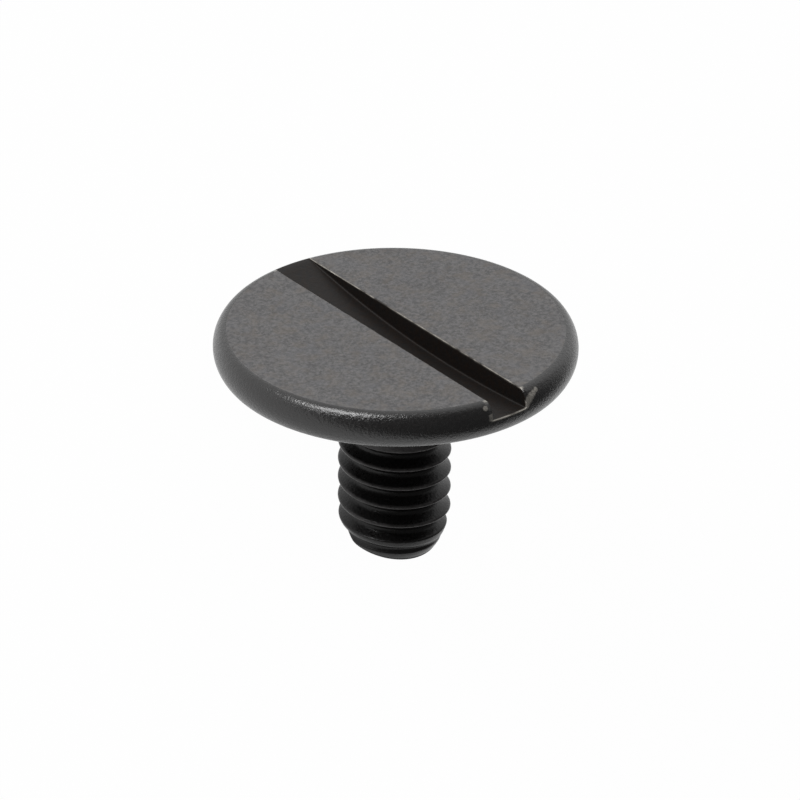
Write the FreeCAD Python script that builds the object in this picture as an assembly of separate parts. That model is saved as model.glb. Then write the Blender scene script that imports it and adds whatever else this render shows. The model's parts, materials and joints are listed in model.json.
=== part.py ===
# Slotted screw in one piece of blackened steel: a wide, thin, flat round head on a short left-hand thread.
# It lies on its side as it comes to rest on a table, on the rim of its head and on the end of its shank.
# The table is z = 0, the screw's axis lies in the plane x = 0, and the slotted face looks up and towards +Y.
# The screw is first made upright, with the slotted face at z = 0 and the shank pointing down, and then laid down.
# All lengths are in millimetres and all angles in degrees.
import FreeCAD
import Part

import math
import os

from FreeCAD import Vector

# Head: a disc with two flat faces and a crowned rim
head_diameter = 13.4
head_thickness = 1.42
rim_crown = 0.33  # how far the rim stands out past the edges of the flat faces
face_edge_radius = 0.10
under_edge_radius = 0.12

# Slot: one straight saw cut across the whole face, open at both ends
slot_width = 1.55
slot_depth = 0.58
slot_corner_radius = 0.06
slot_angle = -51.7  # about the axis, from +X

# Shank: plain neck, thread, and an end that narrows and is cropped a little out of square
shank_length = 7.16
neck_diameter = 4.08
neck_fillet = 0.25
end_diameter = 3.35
end_taper = 0.98
end_slant = 13.0
end_slant_angle = -36.0  # where the cropped end reaches furthest, about the axis, from +X

# Thread: one left-hand groove, cut from the neck to the end
thread_diameter = 4.16
thread_pitch = 0.794
thread_length = 4.89
thread_angle = 60.0
crest_width = 0.09
root_width = 0.20
thread_start_angle = 326.0  # where the groove first has its full depth, about the axis, from +X

head_radius = head_diameter / 2
face_radius = head_radius - rim_crown
neck_radius = neck_diameter / 2
thread_radius = thread_diameter / 2
end_radius = end_diameter / 2
under_z = -head_thickness
end_z = under_z - shank_length
flank_slope = math.tan(math.radians(thread_angle / 2))
groove_mouth = thread_pitch - crest_width
thread_depth = (groove_mouth - root_width) / 2 / flank_slope
root_radius = thread_radius - thread_depth
rest_angle = end_slant_angle + 180  # the side it rolls on to: the end is shortest there, and its weight lowest
blank_spare = 2.0  # how far the blank reaches past the screw's end until it is cropped
blank_end_z = end_z - blank_spare
groove_turns = (thread_length + blank_spare / 2) / thread_pitch
clearance = 0.05  # how far a cutter stands clear of what it doesn't cut
axis_up = Vector(0, 0, 1)
centre = Vector(0, 0, 0)


def in_section(radius, z):
    """A point of the half section that is turned about the axis."""
    return Vector(radius, 0, z)


def turned(edges):
    """The solid that this closed half section makes when it is turned about the axis."""
    return Part.Face(Part.Wire(edges)).revolve(centre, axis_up, 360)


def round_edges(shape, radius, z):
    """The circular edges of this radius about the axis, at this height."""
    found = []
    for edge in shape.Edges:
        curve = edge.Curve
        if isinstance(curve, Part.Circle) and math.isclose(curve.Radius, radius, abs_tol=1e-4):
            if math.isclose(curve.Center.z, z, abs_tol=1e-4):
                found.append(edge)
    return found


def head():
    """The disc: a flat face, the arc of the rim and a flat underside, with both corners broken."""
    face_edge = in_section(face_radius, 0)
    under_edge = in_section(face_radius, under_z)
    rim = Part.Arc(face_edge, in_section(head_radius, under_z / 2), under_edge).toShape()
    disc = turned([
        Part.makeLine(centre, face_edge),
        rim,
        Part.makeLine(under_edge, in_section(0, under_z)),
        Part.makeLine(in_section(0, under_z), centre),
    ])
    disc = disc.makeFillet(face_edge_radius, round_edges(disc, face_radius, 0))
    return disc.makeFillet(under_edge_radius, round_edges(disc, face_radius, under_z))


def slot_cutter():
    """A bar as wide as the slot and longer than the head, with its two lower edges rounded."""
    length = head_diameter + 2
    corner = Vector(-length / 2, -slot_width / 2, -slot_depth)
    bar = Part.makeBox(length, slot_width, slot_depth + 1, corner)
    boxes = [(edge, edge.BoundBox) for edge in bar.Edges]
    low_edges = [edge for edge, box in boxes if box.ZMax < 1e-4 - slot_depth and box.XLength > head_diameter]
    bar = bar.makeFillet(slot_corner_radius, low_edges)
    bar.rotate(centre, axis_up, slot_angle)
    return bar


def shank_blank():
    """Neck and thread blank, turned in one piece and so long that the groove ends inside it."""
    thread_top = end_z + thread_length + thread_pitch
    half = neck_fillet * math.sqrt(0.5)
    flare = Part.Arc(
        in_section(neck_radius + neck_fillet, under_z),
        in_section(neck_radius + neck_fillet - half, under_z - neck_fillet + half),
        in_section(neck_radius, under_z - neck_fillet),
    ).toShape()
    corners = [
        in_section(neck_radius, under_z - neck_fillet),
        in_section(neck_radius, thread_top + thread_radius - neck_radius),
        in_section(thread_radius, thread_top),
        in_section(thread_radius, blank_end_z),
        in_section(0, blank_end_z),
        in_section(0, under_z),
        in_section(neck_radius + neck_fillet, under_z),
    ]
    return turned([flare] + [Part.makeLine(a, b) for a, b in zip(corners, corners[1:])])


def root_point(turn):
    """Where the middle of the groove's root is, this many turns from where it has its full depth."""
    angle = math.radians(thread_start_angle) + 2 * math.pi * turn
    z = end_z + thread_length - thread_pitch * turn
    return Vector(root_radius * math.cos(angle), root_radius * math.sin(angle), z)


def groove_path():
    """The left-hand helix that the root follows until it is well past the screw's end."""
    steps = math.ceil(24 * groove_turns)
    helix = Part.BSplineCurve()
    helix.interpolate([root_point(groove_turns * i / steps) for i in range(steps + 1)])
    return Part.Wire([helix.toShape()])


def groove_section(root):
    """The V of the groove with its flat root, in the plane of the axis, opening away from it."""
    outward = Vector(root.x, root.y, 0).normalize()
    height = thread_depth + clearance
    half_root = root_width / 2
    half_mouth = half_root + height * flank_slope
    inner = [root + axis_up * side * half_root for side in (-1, 1)]
    outer = [root + outward * height + axis_up * side * half_mouth for side in (1, -1)]
    return Part.makePolygon(inner + outer + inner[:1])


def groove_run_in():
    """The section carried straight back from where the groove is full, until its root is out of the blank."""
    root = root_point(0)
    forward = axis_up.cross(Vector(root.x, root.y, 0)).normalize()
    forward.z = -thread_pitch / (2 * math.pi * root_radius)
    length = math.sqrt((thread_radius + clearance) ** 2 - root_radius ** 2)
    return Part.Face(groove_section(root)).extrude(forward * -length)


def groove_turns_cutter():
    """The groove's section carried along the helix, always in the plane of the axis."""
    sweep = Part.BRepOffsetAPI.MakePipeShell(groove_path())
    sweep.setBiNormalMode(axis_up)
    sweep.add(groove_section(root_point(0)), False, False)
    sweep.build()
    sweep.makeSolid()
    return sweep.shape()


def narrowing_cutter():
    """The ring outside the cone of the narrowing end."""
    slope = (thread_radius - end_radius) / end_taper
    corners = [
        in_section(thread_radius + clearance, end_z + end_taper + clearance / slope),
        in_section(end_radius - (blank_spare + clearance) * slope, blank_end_z - clearance),
        in_section(thread_radius + clearance, blank_end_z - clearance),
    ]
    return turned([Part.makeLine(a, b) for a, b in zip(corners, corners[1:] + corners[:1])])


def crop_cutter():
    """What is cropped off the end: all that lies below a plane a little out of square with the axis."""
    size = 4 * thread_diameter
    block = Part.makeBox(size, size, size, Vector(-size / 2, -size / 2, -size))
    block.rotate(centre, Vector(0, 1, 0), end_slant)
    block.rotate(centre, axis_up, end_slant_angle)
    block.translate(in_section(0, end_z))
    return block


def upright_screw():
    shank = shank_blank().cut(groove_run_in()).cut(groove_turns_cutter())
    shank = shank.cut(narrowing_cutter()).cut(crop_cutter())
    return head().cut(slot_cutter()).fuse(shank).removeSplitter().Solids[0]


def lowest(points, tilt):
    """How far below the origin these points reach once the axis is laid over to this tilt above level."""
    return max(p.y * math.cos(tilt) - p.z * math.sin(tilt) for p in points)


def rest_tilt(points):
    """The tilt at which the head and the shank reach equally low, found by halving."""
    on_head = [p for p in points if p.z >= under_z]
    on_shank = [p for p in points if p.z < under_z]
    low, high = 0.0, math.pi / 2
    while high - low > 1e-7:
        tilt = (low + high) / 2
        if lowest(on_head, tilt) > lowest(on_shank, tilt):
            low = tilt
        else:
            high = tilt
    return low


def laid_down(screw):
    """The screw at rest on the table, with the origin under the middle of its box."""
    screw.rotate(centre, axis_up, 90 - rest_angle)
    points = screw.tessellate(0.005)[0]
    tilt = rest_tilt(points)
    print("axis above level, degrees:", round(math.degrees(tilt), 3))
    along = [p.y * math.sin(tilt) + p.z * math.cos(tilt) for p in points]
    screw.rotate(centre, Vector(1, 0, 0), math.degrees(tilt) - 90)
    screw.translate(Vector(0, -(min(along) + max(along)) / 2, lowest(points, tilt)))
    return screw


os.makedirs("parts", exist_ok=True)
screw = laid_down(upright_screw())
screw.exportStep("parts/screw.step")
print("thread depth:", round(thread_depth, 3), "volume:", round(screw.Volume, 2), "valid:", screw.isValid())
print("box:", screw.BoundBox)
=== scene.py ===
import json
import math

import bmesh
import bpy
import numpy as np
from mathutils import Matrix, Vector


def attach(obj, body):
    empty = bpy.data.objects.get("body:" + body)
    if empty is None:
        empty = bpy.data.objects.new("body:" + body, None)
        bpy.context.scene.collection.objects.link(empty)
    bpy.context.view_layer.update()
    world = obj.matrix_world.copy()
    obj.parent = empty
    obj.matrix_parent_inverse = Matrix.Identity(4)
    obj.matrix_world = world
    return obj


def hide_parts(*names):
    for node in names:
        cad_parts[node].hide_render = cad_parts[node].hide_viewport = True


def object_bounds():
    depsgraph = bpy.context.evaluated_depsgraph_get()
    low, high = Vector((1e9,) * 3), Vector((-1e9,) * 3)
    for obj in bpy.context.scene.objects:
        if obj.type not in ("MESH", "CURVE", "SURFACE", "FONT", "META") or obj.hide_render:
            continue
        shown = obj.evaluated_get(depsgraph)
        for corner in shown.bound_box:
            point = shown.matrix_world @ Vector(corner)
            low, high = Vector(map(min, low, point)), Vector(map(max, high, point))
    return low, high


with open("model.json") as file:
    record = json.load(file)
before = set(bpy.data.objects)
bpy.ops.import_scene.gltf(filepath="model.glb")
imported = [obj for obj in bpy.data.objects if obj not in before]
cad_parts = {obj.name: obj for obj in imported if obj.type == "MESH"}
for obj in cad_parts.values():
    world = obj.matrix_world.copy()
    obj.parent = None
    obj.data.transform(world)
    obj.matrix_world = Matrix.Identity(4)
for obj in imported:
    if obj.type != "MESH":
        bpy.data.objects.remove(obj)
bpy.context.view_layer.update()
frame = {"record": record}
print("frame loaded")

mm = 0.001
tau = math.tau

# The screw is worked out upright in mm: slotted face at z = 0, shank pointing down, photographed from -Y.
# Until the whole of it is joined, the slot runs along X, with its near end at +X.
# It is then laid down where the frame has it, by the mount under its head.
head = {
    "radius": 6.70,
    "thickness": 1.42,
    "rimCrown": 0.33,  # how far the rim bulges past the flat faces
    "topEdge": 0.36,  # radius between face and rim
    "underEdge": 0.40,
    "slotWidth": 1.55,
    "slotDepth": 0.87,  # where it is deepest
    "slotDeepest": 2.1,  # how far that is from the axis, towards the slot's near end
    "sawRadius": 40.0,  # the floor is this saw's arc, so the slot all but runs out at its far end
    "slotLeast": 0.04,  # depth that the far end keeps
    "slotCorner": 0.06,  # radius between wall and floor
    "slotLip": 0.035,  # radius of the slot's upper edges
    "roundedShare": 0.4,  # the most of the slot's depth that either of these two takes up
    "slotAngle": -51.7,  # degrees
    "columnsPerHalf": 110,  # lines round each half of the face and rim
    "floorColumns": 14,  # lines across the slot's floor
    "edgeLines": 8,  # lines over each rounded edge
    "wallLines": 12,
    "faceRings": 38,  # evenly spaced ones
    "faceRingsTo": 0.985,  # share of the face's radius that they cover
    "lastFaceRings": (0.995, 1.0),
    "rimRings": 26,
    "rimCrowding": 1.4,  # 1 spaces them evenly, more crowds them where the slot runs out
}

shank = {
    "end": -8.66,  # height of the middle of the end
    "neckRadius": 2.04,
    "neckFillet": 0.25,
    "threadRadius": 2.105,  # before its crests are rounded
    "pitch": 0.794,
    "depth": 0.436,  # of the groove
    "rootWidth": 0.20,
    "flankAngle": 30.0,  # from square to the axis, degrees
    "fullThread": 4.89,  # from the end to where the groove is full
    "fullAngle": 326.0,  # where that is, degrees
    "runIn": 0.9,  # the most of a quarter turn over which the groove leads in
    "neckGap": 0.75,  # pitches from where the groove is full to the plain neck
    "rootSoftness": 0.09,  # widths over which the groove's root and the crests are rounded
    "crestSoftness": 0.04,
    "taperLength": 0.98,
    "tipRadius": 1.46,  # at the lowest point of the slanted end
    "taperCrown": 0.55,  # 1 is a plain cone, less is rounder
    "lastTurnDepth": 0.7,  # share of the groove's depth that is left at the end
    "slant": 13.0,  # degrees
    "slantAngle": -36.0,  # where the slanted end reaches lowest, degrees
    "endEdge": 0.09,  # radius round the end
    "endTrials": 40,  # rounds in which the height of the end's edge settles
    "neckRings": 9,  # each on the underside, the fillet and the neck
    "linesPerPitch": 26,
    "turnsAbove": 3,  # the first line of the thread starts at most this far above the full groove
    "turnsSpare": 4,  # pitches of lines that are cut off again above and below
    "edgeRings": 7,  # round the edge of the end
    "endRings": 12,
}
fullHeight = shank["end"] + shank["fullThread"]
neckEnd = fullHeight + shank["neckGap"] * shank["pitch"]  # the lowest ring that the groove doesn't reach


def placement():
    # upright mm to the row frame in metres: up is the way the slotted face looks, and the screw is turned
    # about its axis until the side where its slanted end is shortest lies lowest
    seat = next(m for m in frame["record"]["mounts"] if m["name"] == "seat")
    up = -Vector(seat["axis"]).normalized()
    right = Vector((1, 0, 0))
    back = up.cross(right)
    laidOver = Matrix((right, back, up)).transposed().to_4x4()
    shortSide = shank["slantAngle"] + 180
    roll = Matrix.Rotation(math.radians(90 - shortSide), 4, "Z")
    faceCentre = Vector(seat["pos_m"]) + up * head["thickness"] * mm
    return Matrix.Translation(faceCentre) @ laidOver @ roll @ Matrix.Scale(mm, 4)


uprightToRow = placement()


def softMax(a, b, width):
    # the larger of two values, with the change from one to the other rounded over this width
    return (a + b + np.sqrt((a - b) ** 2 + width ** 2)) / 2


def softMin(a, b, width):
    # the smaller of two values, rounded in the same way
    return -softMax(-a, -b, width)


def rimArc():
    # the rim bulges as one arc through the edges of both faces: its radius, and its centre's distance from
    # the axis
    half = head["thickness"] / 2
    bow = (half ** 2 + head["rimCrown"] ** 2) / (2 * head["rimCrown"])
    return bow, head["radius"] - bow


def edgeArc(radius):
    # a small arc that touches the face and the inside of the rim's arc: its centre's distance from the axis,
    # and the angle at which it meets the rim
    bow, centre = rimArc()
    rise = head["thickness"] / 2 - radius
    run = math.sqrt((bow - radius) ** 2 - rise ** 2)
    return centre + run, math.atan2(rise, run)


def faceRadius():
    # radius of the flat face, up to where the rounding to the rim begins
    return edgeArc(head["topEdge"])[0]


def rimOutline(z):
    # radius of the head at height z: the rim's arc, and past the places where they meet it the small arcs
    bow, centre = rimArc()
    half = head["thickness"] / 2
    up = z + half
    outline = centre + np.sqrt(np.maximum(bow ** 2 - up ** 2, 0))
    for side, radius in ((1, head["topEdge"]), (-1, head["underEdge"])):
        edgeCentre, meets = edgeArc(radius)
        small = edgeCentre + np.sqrt(np.maximum(radius ** 2 - (side * up - half + radius) ** 2, 0))
        outline = np.where(side * up > bow * math.sin(meets), small, outline)
    return outline


def slotDepthAt(along):
    # depth of the slot's floor this far along it from the axis, as the arc of a large saw: the greatest depth
    # less the square of the way from the deepest place over twice the saw's radius
    lessBy = (along - head["slotDeepest"]) ** 2 / (2 * head["sawRadius"])
    return np.maximum(head["slotDepth"] - lessBy, head["slotLeast"])


def slotSection(depth):
    # half the slot's section for each of these depths: rounded lip, upright wall, rounded corner to the floor
    # gives heights and half widths, one row for each line that runs along the slot
    depth = depth[None, :]
    lip = np.minimum(head["slotLip"], head["roundedShare"] * depth)
    corner = np.minimum(head["slotCorner"], head["roundedShare"] * depth)
    quarter = np.linspace(0, math.pi / 2, head["edgeLines"])[:, None]
    wall = np.linspace(0, 1, head["wallLines"] + 1)[1:, None]
    z = np.concatenate([
        -lip * (1 - np.cos(quarter)),
        -lip + (corner - depth + lip) * wall,
        corner - depth - corner * np.sin(quarter[1:]),
    ])
    widened = np.concatenate([
        lip * (1 - np.sin(quarter)), 0 * lip * wall, -corner * (1 - np.cos(quarter[1:]))
    ])
    return z, head["slotWidth"] / 2 + widened


def stationsAlong():
    # shares of the way from the middle of the head to the face's edge, with narrow last steps to keep it flat
    return np.append(np.linspace(0, head["faceRingsTo"], head["faceRings"]), head["lastFaceRings"])


def bothEnds():
    # the slot's section where it runs out of the rim at its near and its far end
    return slotSection(slotDepthAt(np.array([faceRadius(), -faceRadius()])))


def reachOf(z, across):
    # how far from the middle a line of the slot meets the rim, or at z = 0 the edge of the flat face
    return np.sqrt(rimOutline(z) ** 2 - across ** 2)


def slotGrid():
    # the slot's section across, carried along it: every line ends where it runs out of the rim
    along = stationsAlong()
    along = np.concatenate([-along[:0:-1], along])
    z, half = slotSection(slotDepthAt(along * faceRadius()))
    share = np.linspace(1, -1, head["floorColumns"])[1:-1, None]
    across = np.concatenate([half, share * half[-1:], -half[::-1]])
    heights = np.concatenate([z, np.broadcast_to(z[-1:], (share.size, along.size)), z[::-1]])
    farReach, nearReach = (reachOf(heights[:, end], across[:, end])[:, None] for end in (0, -1))
    a = along * np.where(along < 0, farReach, nearReach)
    return np.stack([a, across, heights], -1)


def halfFaceGrid(side):
    # half the face and the rim beside the slot, as rings from the slot's near end to its far end: between the
    # two, angle, height and the face's radius change evenly, and the rim's radius follows from the height
    stations = stationsAlong()
    z, half = bothEnds()
    radius, angle, heights = [], [], []
    for end, towards in ((0, 1), (1, -1)):
        reach = reachOf(z[:, end], half[:, end])
        lipHalf = slotSection(slotDepthAt(towards * stations * faceRadius()))[1][0]
        a = np.concatenate([stations * reach[0], reach[1:]])
        b = np.concatenate([lipHalf, half[1:, end]])
        radius.append(np.hypot(a, b))
        angle.append(np.arctan2(b, a))
        heights.append(np.concatenate([np.zeros(stations.size), z[1:, end]]))
    share = np.linspace(0, 1, head["columnsPerHalf"])[None, :]
    turned = angle[0][:, None] * (1 - share) + (math.pi - angle[1][:, None]) * share
    level = heights[0][:, None] * (1 - share) + heights[1][:, None] * share
    flat = radius[0][:, None] * (1 - share) + radius[1][:, None] * share
    onFace = np.arange(len(level))[:, None] < stations.size
    reach = np.where(onFace, flat, rimOutline(level))
    return np.stack([reach * np.cos(turned), side * reach * np.sin(turned), level], -1)


def ringStart():
    # the ring along which the lower rim meets the slot's floor and what is above: its angles and heights
    z, half = bothEnds()
    z, half = z[-1], half[-1]
    radius = rimOutline(z)
    start = np.arcsin(half / radius)
    share = np.linspace(0, 1, head["columnsPerHalf"])
    side = start[0] + share * (math.pi - start[1] - start[0])
    sideZ = z[0] + share * (z[1] - z[0])
    across = np.linspace(1, -1, head["floorColumns"])[1:-1]
    farFloor = math.pi - np.arcsin(across * half[1] / radius[1])
    nearFloor = tau + np.arcsin(across[::-1] * half[0] / radius[0])
    angles = np.concatenate([side, farFloor, tau - side[::-1], nearFloor, [tau + start[0]]])
    nearZ, farZ = np.full(across.size, z[0]), np.full(across.size, z[1])
    heights = np.concatenate([sideZ, farZ, sideZ[::-1], nearZ, [z[0]]])
    return angles, heights


def ringGrid(radius, heights):
    # rings about the axis at the first ring's angles, whose radius and height may change round the ring
    angle = ringStart()[0][None, :]
    points = (radius * np.cos(angle), radius * np.sin(angle), heights)
    return np.stack(np.broadcast_arrays(*points), -1)


def lowerHeadRings():
    # radii and heights down the rim from the first ring, then round the lower edge by the angle on its arc
    half = head["thickness"] / 2
    small = head["underEdge"]
    edgeCentre, meets = edgeArc(small)
    top = ringStart()[1][None, :]
    bottom = -rimArc()[0] * math.sin(meets) - half
    onRim = top + (bottom - top) * np.linspace(0, 1, head["rimRings"])[:, None] ** head["rimCrowding"]
    onEdge = np.linspace(-meets, -math.pi / 2, head["edgeLines"] + 1)[1:, None]
    shape = (onEdge.size, top.size)
    edgeZ = np.broadcast_to(small * np.sin(onEdge) + small - 2 * half, shape)
    edgeRadius = np.broadcast_to(edgeCentre + small * np.cos(onEdge), shape)
    return np.concatenate([rimOutline(onRim), edgeRadius]), np.concatenate([onRim, edgeZ])


def underHeadRings():
    # radii and heights in over the flat underside, round the fillet's quarter circle and down the plain neck
    fillet = shank["neckFillet"]
    under = -head["thickness"]
    inner = shank["neckRadius"] + fillet
    underside = np.linspace(edgeArc(head["underEdge"])[0], inner, shank["neckRings"])
    quarter = np.linspace(0, math.pi / 2, shank["neckRings"])[1:]
    neck = np.linspace(under - fillet, neckEnd, shank["neckRings"])[1:]
    radius = np.concatenate([underside, inner - fillet * np.sin(quarter), blankRadius(neck)])
    z = np.concatenate([np.full(underside.size, under), under - fillet * (1 - np.cos(quarter)), neck])
    return radius[:, None], z[:, None]


def blankRadius(z):
    # the shank without its groove: from the tip it widens by a power of the height, then it holds the
    # thread's radius, and above the thread it narrows to the neck
    taperTop = shank["end"] + shank["taperLength"]
    lowest = shank["end"] - shank["tipRadius"] * math.tan(math.radians(shank["slant"]))
    share = np.clip((z - lowest) / (taperTop - lowest), 0, 1)
    tip = shank["tipRadius"]
    widening = tip + (shank["threadRadius"] - tip) * share ** shank["taperCrown"]
    threadTop = fullHeight + shank["pitch"]
    return widening - np.clip(z - threadTop, 0, shank["threadRadius"] - shank["neckRadius"])


def shankRadius(angle, z):
    # a left-hand V groove, with the angle about the axis from +X: the root's radius plus the way aside from
    # the root over the tangent of the flank's angle, up to the blank's radius, with root and crest rounded
    # its start runs straight in, and its last turn is shallower
    turnsAbout = (angle - math.radians(shank["fullAngle"])) / tau
    depthIn = (fullHeight - z) / shank["pitch"] - turnsAbout
    nearest = np.round(depthIn)
    turn = turnsAbout + nearest
    aside = np.abs(depthIn - nearest) * shank["pitch"]
    runIn = np.clip(-tau * turn, 0, shank["runIn"] * math.pi / 2)
    lastTurn = np.clip((shank["end"] + shank["pitch"] - z) / shank["pitch"], 0, 1)
    shallower = (1 - shank["lastTurnDepth"]) * lastTurn
    root = (shank["threadRadius"] - shank["depth"] * (1 - shallower)) / np.cos(runIn)
    flank = (aside - shank["rootWidth"] / 2) / math.tan(math.radians(shank["flankAngle"]))
    groove = root + softMax(flank, 0 * flank, shank["rootSoftness"])
    return softMin(blankRadius(z), groove, shank["crestSoftness"])


def endPlane(angle, radius):
    # height of the slanted end: its middle, less the lean times the way towards the side where it is lowest
    lean = math.tan(math.radians(shank["slant"]))
    return shank["end"] - lean * radius * np.cos(angle - math.radians(shank["slantAngle"]))


def endHeights(angle):
    # where the thread meets the rounded edge of the slanted end, found by trying each height's own radius
    bottom = np.full(angle.size, shank["end"])
    for _ in range(shank["endTrials"]):
        bottom = endPlane(angle, shankRadius(angle, bottom)) + shank["endEdge"]
    return bottom


def threadGrid():
    # lines that fall by one pitch a turn and so follow the groove, cut off level at the neck and along the
    # slanted end; the angle on the shank gives each point's radius
    about = ringStart()[0]
    angle = about + math.radians(head["slotAngle"])
    around = (about - about[0]) / tau
    bottom = endHeights(angle)
    step = shank["pitch"] / shank["linesPerPitch"]
    turns = (neckEnd - bottom.min()) / shank["pitch"] + shank["turnsSpare"]
    firstAngle = (angle[0] - math.radians(shank["fullAngle"])) / tau
    first = fullHeight + (shank["turnsAbove"] - (firstAngle % 1)) * shank["pitch"]
    lines = first - step * np.arange(math.ceil(turns * shank["linesPerPitch"]))
    z = np.clip(lines[:, None] - shank["pitch"] * around[None, :], bottom[None, :], neckEnd)
    radius = np.where(z >= neckEnd, blankRadius(neckEnd), shankRadius(angle[None, :], z))
    points = np.stack([radius * np.cos(about), radius * np.sin(about), z], -1)
    return points, angle, bottom, radius[-1]


def endGrid(angle, bottom, rimRadius):
    # a quarter circle round the end's edge, then straight in over the slanted end to the axis
    about = angle - math.radians(head["slotAngle"])
    edge = shank["endEdge"]
    quarter = np.linspace(0, math.pi / 2, shank["edgeRings"])[:, None]
    edgeRadius = rimRadius[None, :] - edge * (1 - np.cos(quarter))
    edgeZ = bottom[None, :] - edge * np.sin(quarter)
    share = np.linspace(1, 0, shank["endRings"])[1:, None]
    capRadius = edgeRadius[-1:] * share
    offPlane = edgeZ[-1:] - endPlane(angle, edgeRadius[-1:])
    capZ = endPlane(angle, capRadius) + offPlane * share ** 2
    radius = np.concatenate([edgeRadius, capRadius])
    z = np.concatenate([edgeZ, capZ])
    return np.stack([radius * np.cos(about), radius * np.sin(about), z], -1)


# where the colour is lifted towards bare steel: wear and painted highlight on the slot's lips, painted glints
# at the slot's way out and in spots on the rim, painted highlight along the crests; in mm where nothing else
# is said
rubbedAndHighlighted = {
    "lip": 0.8,  # share of the bare steel colour on the slot's rounded upper edges, partly wear and partly painted highlight
    "exitDepth": 0.09,  # how far in from the rim the slot's way out is painted bright, a painted glint
    "exitFrom": 15,  # line below the lip at which that begins
    "exitBeside": 0.04,  # width over which it fades past the slot's wall
    "exitBelow": 0.05,  # how far it reaches below the floor
    "crestWhole": 0.02,  # how far below its top a crest is fully painted grey, a painted highlight
    "crestFade": 0.05,  # over how much more that ends
    "crestFrom": 0.1,  # below the plain neck
    "spots": [  # painted glints on the rim beside the slot's near end: along the slot, across it, height, radius
        (6.57, 0.84, -0.48, 0.17), (6.55, 0.95, -0.39, 0.18), (6.53, 1.08, -0.31, 0.17),
        (6.48, 1.22, -0.24, 0.14), (6.42, 1.38, -0.18, 0.12), (6.46, -0.98, -0.16, 0.11),
    ],
    "spotCore": 0.4,  # share of a spot's radius inside which the painted glint covers all of the black
}


def slotWearAndHighlight(grid):
    # 1 where the floor runs out of the rim, a painted glint, and a little less on the rounded upper edges,
    # wear and painted highlight, fading to 0 beside
    lines = np.arange(len(grid))
    fromLip = np.minimum(lines, lines[::-1])[:, None]
    overLip = np.sin(math.pi * fromLip / (head["edgeLines"] - 0.5))
    onLip = np.where(fromLip < head["edgeLines"], overLip, 0) * rubbedAndHighlighted["lip"]
    along, across, z = np.moveaxis(grid, -1, 0)
    inFromRim = rimOutline(z) - np.hypot(along, across)
    atExit = np.clip(1 - inFromRim / rubbedAndHighlighted["exitDepth"], 0, 1)
    return np.maximum(onLip, atExit * (along > 0) * (fromLip >= rubbedAndHighlighted["exitFrom"]))


def exitHighlight(grid):
    # painted glint: 1 along the edge where the slot's floor runs out of the rim at its near end, fading to 0
    # just below it
    along, across, z = np.moveaxis(grid, -1, 0)
    fade = rubbedAndHighlighted["exitBeside"]
    beside = np.clip((head["slotWidth"] / 2 + fade / 2 - np.abs(across)) / fade, 0, 1) * (along > 0)
    return beside * np.clip(1 - (z[:1] - z) / rubbedAndHighlighted["exitBelow"], 0, 1)


def crestHighlight(grid):
    # painted highlight: 1 on the top of the thread's crests, fading to 0 down their sides
    x, y, z = np.moveaxis(grid, -1, 0)
    below = shank["threadRadius"] - np.hypot(x, y)
    wornAndHighlighted = np.clip(1 - (below - rubbedAndHighlighted["crestWhole"]) / rubbedAndHighlighted["crestFade"], 0, 1)
    return wornAndHighlighted * (z < neckEnd - rubbedAndHighlighted["crestFrom"])


def screwGrids():
    # every surface of the screw, with the name of its finish and the share of wear and painted highlight at
    # its points
    slot = slotGrid()
    lowerRings = ringGrid(*lowerHeadRings())
    thread, angle, bottom, rimRadius = threadGrid()
    flatRings = stationsAlong().size
    grids = [(slot, "slot", slotWearAndHighlight(slot))]
    for side in (1, -1):
        halfFace = halfFaceGrid(side)
        grids += [(halfFace[:flatRings], "face", 0), (halfFace[flatRings - 1:], "rim", 0)]
    return grids + [
        (lowerRings, "rim", exitHighlight(lowerRings)),
        (ringGrid(*underHeadRings()), "underside", 0),
        (thread, "thread", crestHighlight(thread)),
        (endGrid(angle, bottom, rimRadius), "end", 0),
    ]


def gridTriangles(rows, columns, offset):
    # two triangles for each cell of a grid whose points are numbered row by row
    corner = offset + np.arange(rows - 1)[:, None] * columns + np.arange(columns - 1)[None, :]
    a, b, c, d = corner, corner + 1, corner + columns + 1, corner + columns
    return np.concatenate([np.stack([a, b, c], -1).reshape(-1, 3), np.stack([a, c, d], -1).reshape(-1, 3)])


weldStep = 1e-5  # mm


def weld(points, triangles):
    # points that lie in the same small step of a lattice become one, and triangles without area go
    keys = np.round(points / weldStep).astype(np.int64)
    _, first, number = np.unique(keys, axis=0, return_index=True, return_inverse=True)
    triangles = number.reshape(-1)[triangles]
    a, b, c = triangles.T
    kept = (a != b) & (b != c) & (c != a)
    return first, triangles, kept


def joined(grids, finishes):
    # all grids as one shell: points, triangles, the number of each triangle's finish, and each point's share
    # of wear and painted highlight
    points, triangles, slots, wearAndHighlight, offset = [], [], [], [], 0
    for grid, finish, wornAndHighlighted in grids:
        rows, columns = grid.shape[:2]
        made = gridTriangles(rows, columns, offset)
        points.append(grid.reshape(-1, 3))
        triangles.append(made)
        slots.append(np.full(len(made), finishes.index(finish)))
        wearAndHighlight.append(np.broadcast_to(wornAndHighlighted, (rows, columns)).reshape(-1))
        offset += rows * columns
    points, triangles, slots, wearAndHighlight = (np.concatenate(parts) for parts in (points, triangles, slots, wearAndHighlight))
    first, triangles, kept = weld(points, triangles)
    return points[first], triangles[kept], slots[kept], wearAndHighlight[first]


def inRow(points):
    # the slot turned to its place about the axis, and then the whole laid down in the row frame
    turn = math.radians(head["slotAngle"])
    a, b, z = points.T
    x = a * math.cos(turn) - b * math.sin(turn)
    y = a * math.sin(turn) + b * math.cos(turn)
    upright = np.stack([x, y, z], -1)
    place = np.array(uprightToRow)
    return upright @ place[:3, :3].T + place[:3, 3]


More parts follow.
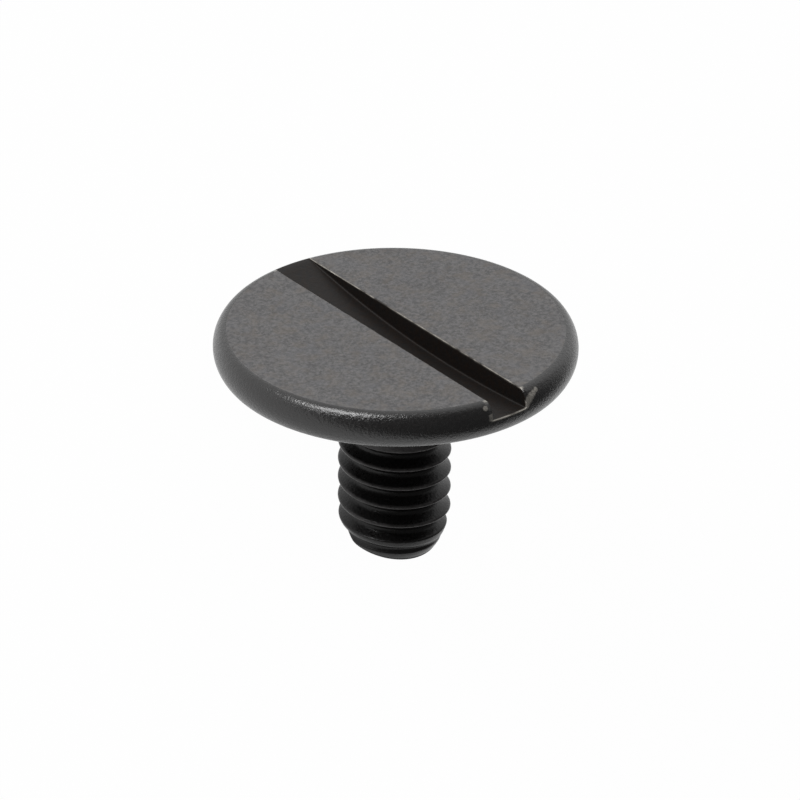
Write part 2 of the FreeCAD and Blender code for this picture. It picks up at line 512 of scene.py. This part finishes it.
def buildScrew(materials):
    points, triangles, slots, wearAndHighlight = joined(screwGrids(), list(materials))
    mesh = bpy.data.meshes.new("screw_finished")
    mesh.vertices.add(len(points))
    mesh.vertices.foreach_set("co", inRow(points).astype(np.float32).ravel())
    mesh.loops.add(triangles.size)
    mesh.loops.foreach_set("vertex_index", triangles.astype(np.int32).ravel())
    mesh.polygons.add(len(triangles))
    mesh.polygons.foreach_set("loop_start", np.arange(0, triangles.size, 3, dtype=np.int32))
    mesh.polygons.foreach_set("material_index", slots.astype(np.int32))
    mesh.polygons.foreach_set("use_smooth", np.ones(len(triangles), bool))
    mesh.update(calc_edges=True)
    wornAndHighlighted = mesh.attributes.new("wearAndHighlight", "FLOAT", "POINT")
    wornAndHighlighted.data.foreach_set("value", wearAndHighlight.astype(np.float32))
    mesh.validate()
    shell = bmesh.new()
    shell.from_mesh(mesh)
    bmesh.ops.recalc_face_normals(shell, faces=shell.faces)
    openEdges = sum(not edge.is_manifold for edge in shell.edges)
    shell.to_mesh(mesh)
    shell.free()
    for material in materials.values():
        mesh.materials.append(material)
    screw = bpy.data.objects.new("screw_finished", mesh)
    bpy.context.scene.collection.objects.link(screw)
    print("screw made:", len(mesh.polygons), "triangles,", openEdges, "open edges")
    return screw


def setInputs(node, inputs):
    # each input is given a value or linked to a socket
    for name, value in inputs.items():
        if isinstance(value, bpy.types.NodeSocket):
            node.id_data.links.new(value, node.inputs[name])
        else:
            node.inputs[name].default_value = value


def addNode(tree, kind, inputs=None, **settings):
    # a new node with its settings and inputs
    node = tree.nodes.new(kind)
    for name, value in settings.items():
        setattr(node, name, value)
    setInputs(node, inputs or {})
    return node


def combined(tree, operation, first, second):
    # one value from two, such as their product or the larger of the two
    return addNode(tree, "ShaderNodeMath", {0: first, 1: second}, operation=operation).outputs[0]


def noise(tree, place, size, detail, roughness, **more):
    # soft noise whose blobs are about this many mm across
    inputs = {"Vector": place, "Scale": 1 / (size * mm), "Detail": detail, "Roughness": roughness}
    return addNode(tree, "ShaderNodeTexNoise", {**inputs, **more}).outputs["Fac"]


def spread(tree, value, low, high, toLow=0.0, toHigh=1.0):
    # a value taken from one range to another, held at its ends
    inputs = {"Value": value, "From Min": low, "From Max": high, "To Min": toLow, "To Max": toHigh}
    return addNode(tree, "ShaderNodeMapRange", inputs, clamp=True).outputs["Result"]


noiseRange = (0.3, 0.7)  # nearly all of a noise lies between these


def varied(tree, grain, least=0.0, most=1.0):
    # a noise stretched until it runs from the least to the most
    return spread(tree, grain, *noiseRange, least, most)


def mixColour(tree, share, first, second):
    # from the first colour to the second; inputs 6 and 7 and output 2 are the node's colours
    colours = [c if isinstance(c, bpy.types.NodeSocket) else (*c, 1) for c in (first, second)]
    inputs = {"Factor": share, 6: colours[0], 7: colours[1]}
    return addNode(tree, "ShaderNodeMix", inputs, data_type="RGBA").outputs[2]


def bump(tree, height, depth):
    # height 0 to 1 taken as this many mm
    inputs = {"Height": height, "Distance": depth * mm, "Strength": 1.0}
    return addNode(tree, "ShaderNodeBump", inputs).outputs["Normal"]


def wearAndHighlightOf(tree):
    # the share of wear and painted highlight that is kept with the points of the mesh
    return addNode(tree, "ShaderNodeAttribute", attribute_name="wearAndHighlight").outputs["Fac"]


def newMaterial(name):
    material = bpy.data.materials.new(name)
    material.use_nodes = True
    tree = material.node_tree
    place = addNode(tree, "ShaderNodeTexCoord").outputs["Object"]
    return material, tree, tree.nodes["Principled BSDF"], place


steel = {
    "face": (0.088, 0.084, 0.084),
    "faceDark": (0.020, 0.019, 0.020),
    "faceIor": 1.65,
    "faceRoughness": (0.46, 0.54),
    "brown": (0.085, 0.066, 0.048),
    "cool": (0.066, 0.068, 0.078),
    "rim": (0.014, 0.013, 0.013),
    "rimIor": 1.6,
    "rimRoughness": (0.20, 0.30),
    # painted shade and a painted warm reflection: the slot's black is darker and browner than the rim's
    "slot": (0.010, 0.006, 0.004),
    "slotIor": 1.3,
    "slotRoughness": 0.50,
    # painted highlight along the thread's crests
    "thread": (0.006, 0.0055, 0.0055),
    "crest": (0.085, 0.080, 0.080),
    "threadIor": 1.35,
    "threadRoughness": (0.25, 0.38),
    "undersideRoughness": (0.35, 0.48),
    "endRoughness": (0.40, 0.53),
    # bare steel, used for wear on the slot's lips and for painted glints and highlights
    "bareSteelAndHighlight": (0.55, 0.52, 0.47),
}


def spotShare(tree, place):
    # painted glint: 1 inside each spot, fading to 0 at its radius, broken up by fine noise
    turn = Matrix.Rotation(math.radians(head["slotAngle"]), 4, "Z")
    share = 0.0
    for *at, radius in rubbedAndHighlighted["spots"]:
        centre = uprightToRow @ turn @ Vector(at)
        away = addNode(tree, "ShaderNodeVectorMath", {0: place, 1: centre}, operation="DISTANCE")
        core = rubbedAndHighlighted["spotCore"] * radius
        near = spread(tree, away.outputs["Value"], low=radius * mm, high=core * mm)
        share = combined(tree, "MAXIMUM", share, near)
    grain = noise(tree, place, size=0.10, detail=2, roughness=0.6)
    broken = spread(tree, grain, low=0.35, high=0.55, toLow=0.5, toHigh=1.0)
    return combined(tree, "MULTIPLY", share, broken)


def patchyWearAndHighlight(tree, place, size, detail, roughness, least):
    # the wear and painted highlight of the surface, in patches of about this many mm that keep at least this
    # share of it
    grain = noise(tree, place, size, detail, roughness)
    return combined(tree, "MULTIPLY", wearAndHighlightOf(tree), spread(tree, grain, low=0.35, high=0.65, toLow=least))


def faceMaterial():
    # mottled matte black: dark grey varied by fine noise, tinted brown and blue in soft patches
    material, tree, shader, place = newMaterial("blackened_face")
    fine = noise(tree, place, size=0.15, detail=4, roughness=0.8)
    coarse = noise(tree, place, size=1.3, detail=3, roughness=0.6)
    warm = noise(tree, place, size=0.55, detail=3, roughness=0.6)
    cold = noise(tree, place, size=0.85, detail=3, roughness=0.6, Distortion=0.5)
    grain = noise(tree, place, size=0.09, detail=3, roughness=0.7)
    colour = mixColour(tree, spread(tree, fine, low=0.40, high=0.60), steel["faceDark"], steel["face"])
    colour = mixColour(tree, spread(tree, warm, low=0.48, high=0.66, toHigh=0.4), colour, steel["brown"])
    colour = mixColour(tree, spread(tree, cold, low=0.50, high=0.66, toHigh=0.3), colour, steel["cool"])
    setInputs(shader, {
        "Base Color": colour,
        "IOR": steel["faceIor"],
        "Roughness": varied(tree, coarse, *steel["faceRoughness"]),
        "Normal": bump(tree, grain, depth=0.010),
    })
    return material


def rimMaterial():
    # the same black over a coarser blasted grain that glints where the rim turns to the light, with painted
    # glints drawn as bare steel in spots and along the slot's way out
    material, tree, shader, place = newMaterial("blackened_rim")
    fine = noise(tree, place, size=0.10, detail=3, roughness=0.7)
    grain = noise(tree, place, size=0.12, detail=3, roughness=0.7)
    black = mixColour(tree, varied(tree, fine), steel["thread"], steel["rim"])
    share = combined(tree, "MAXIMUM", wearAndHighlightOf(tree), spotShare(tree, place))
    setInputs(shader, {
        "Base Color": mixColour(tree, share, black, steel["bareSteelAndHighlight"]),
        "Metallic": share,
        "IOR": steel["rimIor"],
        "Roughness": varied(tree, fine, *steel["rimRoughness"]),
        "Normal": bump(tree, grain, depth=0.022),
    })
    return material


def slotMaterial():
    # darker and browner, painted shade of the slot and a painted warm reflection, with its upper edges lifted
    # towards bare steel as wear and painted highlight and its way out at the rim as a painted glint
    material, tree, shader, place = newMaterial("blackened_slot")
    fine = noise(tree, place, size=0.2, detail=3, roughness=0.6)
    black = mixColour(tree, varied(tree, fine), steel["thread"], steel["slot"])
    share = patchyWearAndHighlight(tree, place, size=0.5, detail=2, roughness=0.5, least=0.10)
    setInputs(shader, {
        "Base Color": mixColour(tree, share, black, steel["bareSteelAndHighlight"]),
        "Metallic": share,
        "IOR": steel["slotIor"],
        "Roughness": steel["slotRoughness"],
        "Normal": bump(tree, fine, depth=0.015),
    })
    return material


def threadMaterial(name, roughness):
    # nearly black and smoother, as a cut surface takes the finish, and greyer along the crests as a painted
    # highlight
    material, tree, shader, place = newMaterial(name)
    fine = noise(tree, place, size=0.1, detail=3, roughness=0.6)
    grain = noise(tree, place, size=0.12, detail=3, roughness=0.6)
    black = mixColour(tree, varied(tree, fine), steel["thread"], steel["rim"])
    share = patchyWearAndHighlight(tree, place, size=0.4, detail=3, roughness=0.6, least=0.35)
    setInputs(shader, {
        "Base Color": mixColour(tree, share, black, steel["crest"]),
        "IOR": steel["threadIor"],
        "Roughness": varied(tree, fine, *roughness),
        "Normal": bump(tree, grain, depth=0.012),
    })
    return material


materials = {
    "face": faceMaterial(),
    "rim": rimMaterial(),
    "slot": slotMaterial(),
    "underside": threadMaterial("blackened_underside", steel["undersideRoughness"]),
    "thread": threadMaterial("blackened_thread", steel["threadRoughness"]),
    "end": threadMaterial("blackened_end", steel["endRoughness"]),
}
print("finishes made:", len(materials))
screw = buildScrew(materials)
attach(screw, "root")
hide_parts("screw")

# lengths in metres, and directions as the upright screw has them
studio = {
    "floorSize": 4.0,
    "floorPaleness": 0.86,
    "floorGlow": 0.985,  # how far the floor is lifted to plain white where it is seen
    "world": 0.14,  # strength of the air elsewhere
    "backdrop": 1.0,  # strength of the air towards the backdrop, behind and above the screw
    "backdropTowards": (0.0, 0.80, 0.60),
    "backdropSpread": (0.15, 0.75),  # cosines of the angle from there at which it begins and is full
    "keyTowards": (-0.40, -0.34, 0.85),
    "keyPower": 0.48,
    "keySize": 0.09,
    "keyDistance": 0.25,
}


def makeFloor():
    # pale and matt; seen or mirrored it is lifted most of the way to white, and keeps part of the shadow
    half = studio["floorSize"] / 2
    level = min(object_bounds()[0][2], 0)
    corners = [(-half, -half, level), (half, -half, level), (half, half, level), (-half, half, level)]
    mesh = bpy.data.meshes.new("floor")
    mesh.from_pydata(corners, [], [(0, 1, 2, 3)])
    floor = bpy.data.objects.new("floor", mesh)
    bpy.context.scene.collection.objects.link(floor)
    material = bpy.data.materials.new("pale_floor")
    material.use_nodes = True
    tree = material.node_tree
    tree.nodes.remove(tree.nodes["Principled BSDF"])
    pale = studio["floorPaleness"]
    matt = addNode(tree, "ShaderNodeBsdfDiffuse", {"Color": (pale, pale, pale, 1)})
    white = addNode(tree, "ShaderNodeEmission", {"Color": (1, 1, 1, 1), "Strength": 1.0})
    path = addNode(tree, "ShaderNodeLightPath")
    seen = path.outputs["Is Camera Ray"]
    for other in ("Is Glossy Ray", "Is Transmission Ray"):
        seen = combined(tree, "MAXIMUM", seen, path.outputs[other])
    share = combined(tree, "MULTIPLY", seen, studio["floorGlow"])
    mixed = addNode(tree, "ShaderNodeMixShader", {0: share, 1: matt.outputs[0], 2: white.outputs[0]})
    setInputs(tree.nodes["Material Output"], {"Surface": mixed.outputs[0]})
    mesh.materials.append(material)


def makeWorld():
    # dim air all round, rising smoothly to a pale backdrop in one direction, and plain white where it is seen
    world = bpy.data.worlds.new("studio_air")
    world.use_nodes = True
    tree = world.node_tree
    towards = (uprightToRow.to_3x3() @ Vector(studio["backdropTowards"])).normalized()
    direction = addNode(tree, "ShaderNodeTexCoord").outputs["Generated"]
    facing = addNode(tree, "ShaderNodeVectorMath", {0: direction, 1: towards}, operation="DOT_PRODUCT")
    low, high = studio["backdropSpread"]
    strength = spread(tree, facing.outputs["Value"], low, high, studio["world"], studio["backdrop"])
    seen = addNode(tree, "ShaderNodeLightPath").outputs["Is Camera Ray"]
    strength = combined(tree, "MAXIMUM", strength, seen)
    setInputs(tree.nodes["Background"], {"Color": (1, 1, 1, 1), "Strength": strength})
    bpy.context.scene.world = world


def makeKeyLight():
    # a soft square lamp that stands off the screw's middle and faces it
    middle = uprightToRow @ Vector((0, 0, shank["end"] / 2))
    direction = (uprightToRow.to_3x3() @ Vector(studio["keyTowards"])).normalized()
    lamp = bpy.data.lights.new("key_light", "AREA")
    lamp.size = studio["keySize"]
    lamp.energy = studio["keyPower"]
    holder = bpy.data.objects.new("key_light", lamp)
    holder.location = middle + direction * studio["keyDistance"]
    holder.rotation_euler = direction.to_track_quat("Z", "Y").to_euler()
    bpy.context.scene.collection.objects.link(holder)


view = {
    "elevation": 29.19,  # degrees above the slotted face
    "roll": 0.631,
    "distance": 201.0,  # mm, from the target
    "target": (0.178, 0.0, -3.026),  # mm, upright
    "pixelsPerRadian": 5457.0,
    "imageWidth": 800,
    "sensorWidth": 36.0,
    "nearest": 0.01,  # m, where the camera begins to see
}


def makeCamera():
    # the photograph's angle to the screw, from in front of it as it stands upright and above its face
    lift, roll = math.radians(view["elevation"]), math.radians(view["roll"])
    towards = Vector((0, -math.cos(lift), math.sin(lift)))
    right = Vector((1, 0, 0))
    up = Vector((0, math.sin(lift), math.cos(lift)))
    rolledRight = right * math.cos(roll) + up * math.sin(roll)
    rolledUp = up * math.cos(roll) - right * math.sin(roll)
    turn = Matrix((rolledRight, rolledUp, towards)).transposed()
    place = uprightToRow.to_3x3() @ turn
    camera = bpy.data.cameras.new("camera")
    camera.sensor_width = view["sensorWidth"]
    camera.lens = view["sensorWidth"] * view["pixelsPerRadian"] / view["imageWidth"]
    camera.clip_start = view["nearest"]
    holder = bpy.data.objects.new("camera", camera)
    at = uprightToRow @ (Vector(view["target"]) + towards * view["distance"])
    holder.matrix_world = Matrix.Translation(at) @ place.normalized().to_4x4()
    bpy.context.scene.collection.objects.link(holder)
    bpy.context.scene.camera = holder


makeFloor()
makeWorld()
makeKeyLight()
makeCamera()
bpy.context.scene.view_settings.view_transform = "Standard"
print("studio made")
